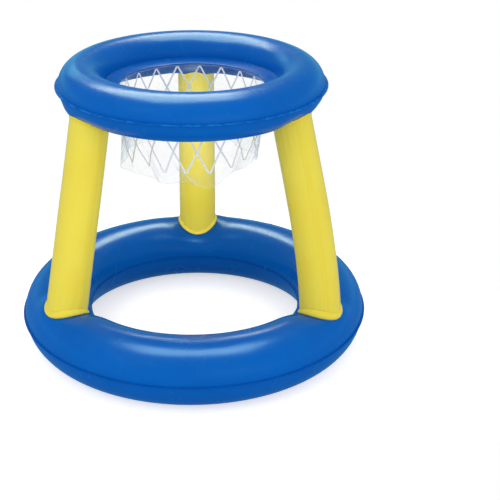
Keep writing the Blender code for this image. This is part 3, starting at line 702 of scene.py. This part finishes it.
def net_place(azimuth, drop, proud):
    """Points on the net's outer side, a distance below its weld, or proud of it."""
    free_drop = np.maximum(0.0, drop - PRINT_ROW_HEIGHT)
    growth = (free_drop / (NET_LENGTH - PRINT_ROW_HEIGHT)) ** NET_FOLD_GROWTH
    start = np.clip(drop / (PRINT_ROW_HEIGHT / 2), 0, 1)
    out, sideways, down, tail = np.moveaxis(point_moves(azimuth), -1, 0)
    point_growth = (free_drop / ((PRINT_ROWS - 1) * PRINT_ROW_HEIGHT)) ** NET_FOLD_GROWTH
    last_row = PRINT_ROWS * PRINT_ROW_HEIGHT
    past_points = np.maximum(0.0, drop - last_row) / (NET_LENGTH - last_row)
    crease, rumple = crease_and_rumple(azimuth, drop)
    reach = NET_RADIUS + NET_FOLD_DEPTH * growth * net_folds(azimuth) + point_growth * out + proud
    reach = reach + CRINKLE_DEPTH * start * crinkles(azimuth, drop) + CREASE_DEPTH * crease
    ruffle = np.sin(RUMPLE_WAVES * azimuth + RUMPLE_SLANT * drop) * np.clip(drop / RUMPLE_START, 0, 1)
    reach = reach + RUMPLE_DEPTH * rumple * ruffle
    turned = azimuth + point_growth * sideways / NET_RADIUS
    lift = flange_wave(TOP, azimuth) * np.exp(-drop / PRINT_ROW_HEIGHT)
    height = collar_height(NET_RADIUS) - drop - point_growth * down - past_points * tail + lift
    return np.stack((reach * np.cos(turned), reach * np.sin(turned), height), -1)


def net_film():
    """The film as a grid: up its outer side, over its collar and down its inner side."""
    steps = PRINT_PITCHES * NET_STEPS_A_PITCH
    azimuths = PRINT_AZIMUTH + np.arange(steps) * 2 * pi / steps
    shares = np.linspace(0, 1, PRINT_ROWS * NET_ROW_STEPS + NET_END_STEPS)[1:]
    azimuth, drop = np.broadcast_arrays(azimuths[:, None], NET_LENGTH * shares[None, :])
    ray = np.stack((np.cos(azimuths), np.sin(azimuths), np.zeros(steps)), -1)
    lift = flange_wave(TOP, azimuths)
    collar_radius = HOOP_OPENING_RADIUS + NET_COLLAR_WIDTH
    collar = []
    for reach, below in ((NET_RADIUS, NET_WALL), (collar_radius, NET_WALL), (collar_radius, 0.0),
                         (NET_RADIUS - NET_WALL, 0.0)):
        height = collar_height(reach) - below + lift * sag(TOP, reach) / FLANGE_DROOP
        collar.append(ray * reach + np.array([0, 0, 1]) * height[:, None])
    outer = net_place(azimuth, drop, 0.0)[:, ::-1]
    inner = net_place(azimuth, drop, -NET_WALL)
    points = np.concatenate((outer, np.stack(collar, 1), inner), 1)
    crease, rumple = crease_and_rumple(azimuth, drop)
    mask = np.clip(crease ** 3 + RUMPLE_TONE * rumple, 0, 1)
    mask[:, -1] = FREE_EDGE_TONE
    mask = np.concatenate((mask[:, ::-1], np.full((steps, len(collar)), COLLAR_TONE), mask), 1)
    return grid_piece("net_clear_film", points, mask)


def make_film_material():
    """Clear film: nearly invisible face on, hazier with a painted sheen where it turns away, and milky and
    shiny where it is creased.
    """
    material, tree, shader = new_material("clear_film")
    coords = add_node(tree, "ShaderNodeTexCoord").outputs["Object"]
    facing = add_node(tree, "ShaderNodeLayerWeight", {"Blend": 0.35}).outputs["Facing"]
    # Seen edge-on, the film turns pale and opaque. This is partly the haze of looking through more film and
    # partly a painted sheen.
    haze_and_sheen = map_range(tree, facing, 0.30, 1.0, 0.0, EDGE_ON_HAZE_AND_SHEEN)
    cloud = map_range(tree, add_noise(tree, coords, 36.0, 3.0, 0.55, 1.2), 0.36, 0.72, 0.02, 0.08)
    scuff = map_range(tree, add_noise(tree, coords, 260.0, 3.0, 0.7, 2.5), 0.64, 0.74, 0.0, 0.10)
    edge = add_node(tree, "ShaderNodeAttribute", attribute_name="weld").outputs["Fac"]
    alpha = calculate(tree, "ADD", calculate(tree, "ADD", haze_and_sheen, cloud), scuff)
    alpha = calculate(tree, "ADD", alpha, calculate(tree, "MULTIPLY", edge, CREASE_MILKINESS))
    rough = map_range(tree, add_noise(tree, coords, 55.0, 3.0), 0.3, 0.7, 0.10, 0.24)
    ripple = calculate(tree, "MULTIPLY", add_noise(tree, coords, 75.0, 3.0, 0.6, 1.0), FILM_RIPPLE)
    bump = add_node(tree, "ShaderNodeBump", {"Height": ripple, "Distance": 1.0, "Strength": 0.6})
    feed(tree, shader, {"Base Color": FILM, "Roughness": rough, "IOR": FILM_IOR, "Alpha": alpha,
                        "Normal": bump.outputs["Normal"]})
    return material


film = net_film()
dress(film, make_film_material(), "clear_vinyl", "hoop", "net_film")


# Mesh, white ink that is screen-printed on the outer side of the film before it is welded. The
# lines cross in three rows of diamonds, with blunt corners where they turn at the top and bottom.
PRINT_LINE_WIDTH = 0.0029
PRINT_THICKNESS = 0.00012
PRINT_GAP = 0.00012
PRINT_BLUNTING = 0.0020
PRINT_ARM_STEPS = 14
INK = (0.94, 0.97, 1.0, 1.0)
THIN_INK = (0.83, 0.89, 0.94, 1.0)


def net_print():
    """Knots where the lines cross, and arms from knot to knot that follow the film's folds."""
    pitch = 2 * pi / PRINT_PITCHES
    slope = atan(NET_RADIUS * pitch / 2 / PRINT_ROW_HEIGHT)
    half_side = PRINT_LINE_WIDTH / 2 / cos(slope) / NET_RADIUS
    half_drop = PRINT_LINE_WIDTH / 2 / sin(slope)
    blunt_side = half_side + PRINT_BLUNTING * tan(slope) / NET_RADIUS
    places, faces = [], []

    def spot(azimuth, drop):
        places.append((azimuth, drop))
        return len(places) - 1

    knots = []
    for row in range(PRINT_ROWS + 1):
        drop = PRINT_ROW_HEIGHT * row
        side, fall, top, bottom = half_side, 0.0, -half_drop, half_drop
        if row == 0:
            side, fall, top = blunt_side, PRINT_BLUNTING, PRINT_BLUNTING / 2
        if row == PRINT_ROWS:
            side, fall, bottom = blunt_side, -PRINT_BLUNTING, -PRINT_BLUNTING / 2
        for column in range(PRINT_PITCHES):
            azimuth = PRINT_AZIMUTH + pitch * (column + row / 2)
            knot = [spot(azimuth - side, drop + fall), spot(azimuth, drop + top),
                    spot(azimuth + side, drop + fall), spot(azimuth, drop + bottom)]
            faces.append(knot)
            knots.append(knot)
    for row in range(PRINT_ROWS):
        for column in range(PRINT_PITCHES):
            left, top, right, bottom = knots[row * PRINT_PITCHES + column]
            for below, near, far in ((0, right, 0), (-1, left, 2)):
                mate = knots[(row + 1) * PRINT_PITCHES + (column + below) % PRINT_PITCHES]
                turn = 2 * pi if column + below < 0 else 0.0
                rails = []
                for one, other in ((near, mate[1]), (bottom, mate[far])):
                    (azimuth, drop), (far_azimuth, far_drop) = places[one], places[other]
                    rail = [one]
                    for k in range(1, PRINT_ARM_STEPS):
                        share = k / PRINT_ARM_STEPS
                        rail.append(spot(azimuth + (far_azimuth - turn - azimuth) * share,
                                         drop + (far_drop - drop) * share))
                    rails.append(rail + [other])
                for k in range(PRINT_ARM_STEPS):
                    faces.append((rails[0][k], rails[0][k + 1], rails[1][k + 1], rails[1][k]))
    flat = np.array(places)
    bottom = net_place(flat[:, 0], flat[:, 1], PRINT_GAP)
    bm = bmesh.new()
    verts = [bm.verts.new(point) for point in bottom]
    made = [bm.faces.new([verts[i] for i in face]) for face in faces]
    raise_faces(bm, made, lambda spot: Vector((spot.x, spot.y, 0)).normalized() * PRINT_THICKNESS)
    return built_piece("net_printed_mesh", bm)


def make_ink_material():
    """White ink, a little thin and uneven, as a screen lays it on film."""
    material, tree, shader = new_material("white_ink")
    coords = add_node(tree, "ShaderNodeTexCoord").outputs["Object"]
    thin = map_range(tree, add_noise(tree, coords, 480.0, 3.0, 0.6), 0.35, 0.75)
    rough = map_range(tree, add_noise(tree, coords, 900.0, 2.0), 0.3, 0.7, 0.38, 0.55)
    feed(tree, shader, {"Base Color": mix_colours(tree, thin, INK, THIN_INK), "Roughness": rough})
    return material


printed = net_print()
dress(printed, make_ink_material(), "white_ink", "hoop", "net_print")


# Air valves, one for the base ring with its legs and one for the top ring. A soft flange is welded
# to the skin, and a stem with a plug on a strap pulls out for blowing and pushes in flush. A flap
# inside the stem keeps the air in while the plug is out.
VALVES = {"base_valve": (BASE, 60.0), "top_valve": (TOP, 120.0)}
VALVE_ELEVATION = radians(36.0)
VALVE_SIDES = 64
CAD_SEAM_GAP = 0.0003
VALVE_FLANGE_RADIUS = 0.0170
VALVE_FLANGE_WALL = 0.0008
STEM_RADIUS = 0.0066
STEM_BORE_RADIUS = 0.0037
STEM_TRAVEL = 0.0120
STEM_STOP_ROOM = 0.0016
STEM_RUNNING_GAP = 0.0004
RIM_RADIUS = 0.0086
RIM_THICKNESS = 0.0010
PLUG_DEPTH = 0.0050
PLUG_ROOT_RADIUS = 0.0034
PLUG_TIP_RADIUS = 0.0027
PLUG_CAP_RADIUS = 0.0075
PLUG_CAP_THICKNESS = 0.0012
STRAP_LENGTH = 0.0160
STRAP_WIDTH = 0.0035
STRAP_THICKNESS = 0.0007
EAR_THICKNESS = 0.0006
EAR_POST_WIDTH = 0.0017
VALVE_HOLE_RADIUS = 0.0084
EDGE_ROUNDING = 0.00022
AXIS_RADIUS = 0.00005        # a turned outline stops this far short of the valve's axis
CUTTER_CORE = 0.0001
CUTTER_REACH = 0.0040
MOUTH_BEVEL, MOUTH_DEPTH = 0.0006, 0.0005
PLUG_SWELL = 0.0002          # a round bead that holds the plug in the bore
DISH_EDGE, DISH_FLOOR, DISH_DEPTH = 0.0012, 0.0018, 0.0003   # the cap's hollow, in from its side
DISC_STEPS = 26
DISC_TAPER, DISC_TAPER_START = 0.55, 0.82     # how much thinner the disc's edge is, and from where
DISC_GROOVES = ((0.42, 0.50), (0.60, 0.68))   # shares of the disc's width
DISC_GROOVE_DEPTH = 0.00022
DISC_BORE_ROUNDING, DISC_BORE_SHARE = 0.0003, 0.06
VALVE_SEAT = 2 * CAD_SEAM_GAP + VALVE_FLANGE_WALL
VALVE_MOUTH = VALVE_SEAT + RIM_THICKNESS
CAP_BASE = VALVE_MOUTH + CAD_SEAM_GAP
CAP_TOP = CAP_BASE + PLUG_CAP_THICKNESS
STRAP_TOP = CAP_BASE + (PLUG_CAP_THICKNESS + STRAP_THICKNESS) / 2
MILKY = (0.700, 0.760, 0.800, 1.0)
DEEP_MILKY = (0.560, 0.640, 0.700, 1.0)

VALVE_VINYL = vinyl_material("valve_vinyl", MILKY, DEEP_MILKY, MILKY, (0.22, 0.36), grain=0.00001,
                             dust=0.2, specular=0.40, tint=WHITE)
feed(VALVE_VINYL.node_tree, VALVE_VINYL.node_tree.nodes["Principled BSDF"],
     {"Subsurface Weight": 0.15, "Subsurface Radius": (0.002, 0.002, 0.002)})


def valve_place(ring, azimuth):
    """The frame on a ring's skin at its valve: X along the ring, Y up the tube, Z straight out."""
    ray = Vector((cos(azimuth), sin(azimuth), 0))
    out = ray * cos(VALVE_ELEVATION) + Vector((0, 0, sin(VALVE_ELEVATION)))
    along = Vector((-sin(azimuth), cos(azimuth), 0))
    place = Matrix((along, out.cross(along), out)).transposed().to_4x4()
    place.translation = ray * ring.radius + Vector((0, 0, ring.height)) + out * ring.tube
    return place


def turned_mesh(name, profile, place):
    """A closed outline of (radius, height) turned round the valve's axis."""
    turns = np.arange(VALVE_SIDES) * 2 * pi / VALVE_SIDES
    outline = np.array(profile)
    local = spin(turns, outline[None, :, 0], outline[None, :, 1])
    turn, shift = np.array(place.to_3x3()), np.array(place.translation)
    return grid_piece(name, local @ turn.T + shift)


def extruded_piece(name, outline, width, place):
    """A flat outline in the valve's XZ plane, given a width along Y."""
    bm = bmesh.new()
    face = bm.faces.new([bm.verts.new(place @ Vector((x, -width / 2, z))) for x, z in outline])
    raise_faces(bm, [face], lambda spot: place.to_3x3() @ Vector((0, width, 0)))
    return built_piece(name, bm)


def combine(piece, tool, operation):
    """Fuse a helper solid to a piece or cut it out, and drop the helper."""
    modifier = piece.modifiers.new(operation.lower(), "BOOLEAN")
    modifier.operation = operation
    modifier.solver = "EXACT"
    modifier.object = tool
    bpy.context.view_layer.update()
    evaluated = piece.evaluated_get(bpy.context.evaluated_depsgraph_get())
    mesh = bpy.data.meshes.new_from_object(evaluated)
    piece.modifiers.clear()
    piece.data = mesh
    bpy.data.objects.remove(tool, do_unlink=True)


def soften_edges(piece):
    """Round off a moulding's sharp edges."""
    bevel = piece.modifiers.new("soft_edges", "BEVEL")
    bevel.width = EDGE_ROUNDING
    bevel.segments = 2
    bevel.limit_method = "ANGLE"
    bevel.angle_limit = radians(40)
    bevel.harden_normals = False


def valve_flange(name, ring, azimuth):
    """The soft disc, which follows the round of the tube, with raised rings from its weld."""
    bore = STEM_RADIUS + STEM_RUNNING_GAP
    radii = np.linspace(bore, VALVE_FLANGE_RADIUS, DISC_STEPS)
    share = (radii - bore) / (VALVE_FLANGE_RADIUS - bore)
    taper = np.clip((share - DISC_TAPER_START) / (1 - DISC_TAPER_START), 0, 1) ** 2
    rise = VALVE_FLANGE_WALL * (1 - DISC_TAPER * taper)
    for start, end in DISC_GROOVES:
        rise -= DISC_GROOVE_DEPTH * ((share > start) & (share < end))
    rise -= DISC_BORE_ROUNDING * np.exp(-(share / DISC_BORE_SHARE) ** 2)
    reach = ring.radius + ring.tube * cos(VALVE_ELEVATION)
    turns = np.arange(VALVE_SIDES) * 2 * pi / VALVE_SIDES
    radius = np.concatenate((radii, radii[::-1]))
    proud = CAD_SEAM_GAP + np.concatenate((np.zeros(len(radii)), rise[::-1]))
    around = azimuth + radius[None, :] * np.cos(turns)[:, None] / reach
    tilt = VALVE_ELEVATION + radius[None, :] * np.sin(turns)[:, None] / ring.tube
    out = ring.radius + (ring.tube + proud) * np.cos(tilt)
    height = ring.height + (ring.tube + proud) * np.sin(tilt)
    points = np.stack((out * np.cos(around), out * np.sin(around), height), -1)
    return grid_piece(f"{name}_welded_disc", points)


def valve_stem(name, place):
    """The push-in tube with a rim at each end, and the ear that holds the plug's strap."""
    inner_end = -(STEM_TRAVEL + STEM_STOP_ROOM + RIM_THICKNESS)
    inner_rim = inner_end + RIM_THICKNESS
    profile = ((STEM_BORE_RADIUS, inner_end), (RIM_RADIUS, inner_end), (RIM_RADIUS, inner_rim),
               (STEM_RADIUS, inner_rim), (STEM_RADIUS, VALVE_SEAT), (RIM_RADIUS, VALVE_SEAT),
               (RIM_RADIUS, VALVE_MOUTH), (STEM_BORE_RADIUS + MOUTH_BEVEL, VALVE_MOUTH),
               (STEM_BORE_RADIUS, VALVE_MOUTH - MOUTH_DEPTH))
    stem = turned_mesh(f"{name}_push_in_stem", profile, place)
    root = -(STEM_RADIUS + STEM_BORE_RADIUS) / 2
    post = -(STRAP_LENGTH + CAD_SEAM_GAP)
    low = VALVE_SEAT + (RIM_THICKNESS - EAR_THICKNESS) / 2
    high = low + EAR_THICKNESS
    outline = ((root, low), (post - EAR_POST_WIDTH, low), (post - EAR_POST_WIDTH, STRAP_TOP),
               (post, STRAP_TOP), (post, high), (root, high))
    combine(stem, extruded_piece(f"{name}_ear", outline, STRAP_WIDTH, place), "UNION")
    soften_edges(stem)
    return stem


def valve_plug(name, place):
    """The stopper with its dished cap, and the strap that it swings on."""
    tip = CAP_BASE - PLUG_DEPTH
    profile = ((AXIS_RADIUS, tip), (PLUG_TIP_RADIUS, tip),
               (PLUG_ROOT_RADIUS - PLUG_SWELL, CAP_BASE - PLUG_DEPTH * 0.45),
               (PLUG_ROOT_RADIUS, CAP_BASE - PLUG_DEPTH * 0.30),
               (PLUG_ROOT_RADIUS - PLUG_SWELL, CAP_BASE), (PLUG_CAP_RADIUS, CAP_BASE),
               (PLUG_CAP_RADIUS, CAP_TOP), (PLUG_CAP_RADIUS - DISH_EDGE, CAP_TOP),
               (PLUG_CAP_RADIUS - DISH_FLOOR, CAP_TOP - DISH_DEPTH), (AXIS_RADIUS, CAP_TOP - DISH_DEPTH))
    plug = turned_mesh(f"{name}_stopper", profile, place)
    end = -(PLUG_CAP_RADIUS + PLUG_ROOT_RADIUS) / 2
    low = STRAP_TOP - STRAP_THICKNESS
    outline = ((-STRAP_LENGTH, low), (end, low), (end, STRAP_TOP), (-STRAP_LENGTH, STRAP_TOP))
    combine(plug, extruded_piece(f"{name}_strap", outline, STRAP_WIDTH, place), "UNION")
    soften_edges(plug)
    return plug


for name, (ring, azimuth) in VALVES.items():
    azimuth = radians(azimuth)
    place = valve_place(ring, azimuth)
    cutter = turned_mesh(f"{name}_cutter", (
        (CUTTER_CORE, -CUTTER_REACH), (VALVE_HOLE_RADIUS, -CUTTER_REACH),
        (VALVE_HOLE_RADIUS, CUTTER_REACH), (CUTTER_CORE, CUTTER_REACH)), place)
    combine(base_upper if ring is BASE else top_upper, cutter, "DIFFERENCE")
    dress(valve_flange(name, ring, azimuth), VALVE_VINYL, "valve_vinyl", "hoop", f"{name}_flange")
    dress(valve_stem(name, place), VALVE_VINYL, "valve_vinyl", f"{name}_stem", f"{name}_stem")
    dress(valve_plug(name, place), VALVE_VINYL, "valve_vinyl", f"{name}_plug", f"{name}_plug")
    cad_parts[f"{name}_check_flap"].material_slots[0].material = VALVE_VINYL


# Studio: a white floor that keeps the hoop's soft shadow, a white surround, wide soft lamps, cards
# and small lamps that light only one ring or leg each, and a camera above the front, turned a little
# to the right of the hoop.
FLOOR_SIZE = 14.0
FLOOR_DROP = 0.0004
CAMERA_PLACE = (0.0558, -1.8796, 1.0236)
CAMERA_PITCH = radians(24.865)
CAMERA_TURN = radians(1.212)
CAMERA_ROLL = radians(0.443)
LENS = 86.9
SENSOR_WIDTH = 36.0
NEAREST = 0.05
FLOOR_PAINT = (0.92, 0.905, 0.86, 1.0)
FLOOR_GLOW = 0.58
MIRRORED = (0.26, 0.88, 1.00, 1.0)            # reflections show a cool white
MIRRORED_FLOOR = (0.120, 0.340, 0.560, 1.0)   # and dim blue from the floor
BOUNCE = (0.78, 0.78, 0.78, 1.0)              # the floor that lights the underside
SHADOW_REACH = 0.42          # the floor takes shadows as far as this from the hoop's middle
SHADOW_END = 0.60
SURROUND = 0.88
CEILING = 0.34               # what reflections keep of their strength overhead
CEILING_START = 0.32         # the sine of the height from where they have no more
CARD_COLOURS = {"left_card": (0.40, 1.00, 0.95), "back_card": (1.00, 0.98, 0.78)}


def make_floor():
    """A pale floor, lifted to the surround's white where it is seen, and dim blue in reflections."""
    bm = bmesh.new()
    bmesh.ops.create_grid(bm, x_segments=1, y_segments=1, size=FLOOR_SIZE / 2)
    floor_piece = built_piece("studio_floor", bm)
    floor_piece.location.z = -FLOOR_DROP
    material, tree, shader = new_material("studio_floor")
    tree.nodes.remove(shader)
    path = add_node(tree, "ShaderNodeLightPath").outputs
    straight = calculate(tree, "MAXIMUM", path["Is Camera Ray"], path["Is Transmission Ray"])
    coords = add_node(tree, "ShaderNodeTexCoord").outputs["Object"]
    away = add_node(tree, "ShaderNodeVectorMath", {0: coords}, operation="LENGTH").outputs["Value"]
    open_floor = map_range(tree, away, SHADOW_REACH, SHADOW_END)
    paint = add_node(tree, "ShaderNodeBsdfDiffuse", {"Color": FLOOR_PAINT})
    glow = add_node(tree, "ShaderNodeEmission", {"Color": WHITE, "Strength": FLOOR_GLOW})
    lifted = add_node(tree, "ShaderNodeAddShader", {0: paint.outputs[0], 1: glow.outputs[0]})
    plain = add_node(tree, "ShaderNodeEmission", {"Color": WHITE, "Strength": 1.0})
    shown = add_node(tree, "ShaderNodeMixShader",
                     {0: open_floor, 1: lifted.outputs[0], 2: plain.outputs[0]})
    mirrored = add_node(tree, "ShaderNodeEmission", {"Color": MIRRORED_FLOOR, "Strength": 1.0})
    bounce = add_node(tree, "ShaderNodeBsdfDiffuse", {"Color": BOUNCE})
    unseen = add_node(tree, "ShaderNodeMixShader",
                      {0: path["Is Glossy Ray"], 1: bounce.outputs[0], 2: mirrored.outputs[0]})
    chosen = add_node(tree, "ShaderNodeMixShader",
                      {0: straight, 1: unseen.outputs[0], 2: shown.outputs[0]})
    feed(tree, tree.nodes["Material Output"], {"Surface": chosen.outputs[0]})
    floor_piece.data.materials.append(material)


def make_surround():
    """The world: white where it is seen, cool in reflections, and an even soft light on the object."""
    world = bpy.data.worlds.new("studio_surround")
    bpy.context.scene.world = world
    world.use_nodes = True
    tree = world.node_tree
    path = add_node(tree, "ShaderNodeLightPath").outputs
    direction = add_node(tree, "ShaderNodeTexCoord").outputs["Generated"]
    upward = add_node(tree, "ShaderNodeSeparateXYZ", {"Vector": direction}).outputs["Z"]
    shown = calculate(tree, "MAXIMUM", path["Is Camera Ray"], path["Is Transmission Ray"])
    dimmed = map_range(tree, upward, 0.0, CEILING_START, 1.0, CEILING)
    mirrored = calculate(tree, "MULTIPLY", path["Is Glossy Ray"], dimmed)
    lighting = calculate(tree, "SUBTRACT", 1.0, calculate(tree, "MAXIMUM", shown, path["Is Glossy Ray"]))
    strength = calculate(tree, "ADD", calculate(tree, "MAXIMUM", shown, mirrored),
                         calculate(tree, "MULTIPLY", lighting, SURROUND))
    colour = mix_colours(tree, path["Is Glossy Ray"], WHITE, MIRRORED)
    feed(tree, tree.nodes["Background"], {"Color": colour, "Strength": strength})


def add_lamp(name, place, target, width, height, power):
    """A softbox that faces a target."""
    light = bpy.data.lights.new(name, "AREA")
    light.shape = "RECTANGLE"
    light.size = width
    light.size_y = height
    light.energy = power
    lamp = bpy.data.objects.new(name, light)
    bpy.context.scene.collection.objects.link(lamp)
    lamp.location = place
    aim = Vector(target) - Vector(place)
    lamp.rotation_euler = aim.to_track_quat("-Z", "Y").to_euler()
    return lamp


def light_only(lamp, pieces):
    """Let a lamp light only some of the pieces."""
    lit = bpy.data.collections.new(f"{lamp.name}_pieces")
    for piece in pieces:
        lit.objects.link(piece)
    lamp.light_linking.receiver_collection = lit


make_floor()
make_surround()
MIDDLE = (0, 0, 0.30)
for name, place, width, height, power in (("key_softbox", (-1.6, -1.9, 2.1), 1.3, 1.3, 9),
                                          ("low_softbox", (1.2, -2.5, 0.75), 2.0, 0.9, 8)):
    add_lamp(name, place, (0, 0, 0.25), width, height, power).visible_glossy = False
for name, place, target, width, height, power, hidden, pieces in (
        ("back_card", (-0.40, 1.06, 3.14), MIDDLE, 2.4, 2.90, 385, "diffuse", (top_upper, top_lower)),
        ("left_card", (-1.20, 2.20, 1.45), MIDDLE, 0.9, 0.7, 4, "diffuse", (top_upper, top_lower)),
        ("top_card", (0, -0.20, 2.60), MIDDLE, 2.2, 1.3, 165, "diffuse", (base_upper, base_lower)),
        ("far_card", (0, 0.70, 0.86), (0, 0.24, 0.11), 0.40, 0.3, 9.5, "diffuse", (base_upper, base_lower)),
        ("back_leg_softbox", (0.1, -2.2, 0.40), (0, 0.2, 0.30), 1.2, 0.5, 8, "glossy", sleeves[:1]),
        ("back_leg_fill", (0, -0.05, 0.34), (0, 0.18, 0.36), 0.2, 0.1, 0.31, "glossy", sleeves[:1]),
        ("left_leg_softbox", (1.6, -1.6, 0.60), (-0.2, -0.1, 0.28), 1.0, 1.0, 8, "glossy", sleeves[1:2])):
    lamp = add_lamp(name, place, target, width, height, power)
    lamp.data.color = CARD_COLOURS.get(name, WHITE[:3])
    setattr(lamp, f"visible_{hidden}", False)
    lamp.visible_camera = False
    light_only(lamp, pieces)

camera_data = bpy.data.cameras.new("photo_camera")
camera_data.lens = LENS
camera_data.sensor_width = SENSOR_WIDTH
camera_data.clip_start = NEAREST
camera = bpy.data.objects.new("photo_camera", camera_data)
bpy.context.scene.collection.objects.link(camera)
turn = Matrix.Rotation(-CAMERA_TURN, 4, "Z") @ Matrix.Rotation(pi / 2 - CAMERA_PITCH, 4, "X")
camera.matrix_world = Matrix.Translation(CAMERA_PLACE) @ turn @ Matrix.Rotation(CAMERA_ROLL, 4, "Z")
bpy.context.scene.camera = camera
bpy.context.scene.view_settings.view_transform = "Standard"
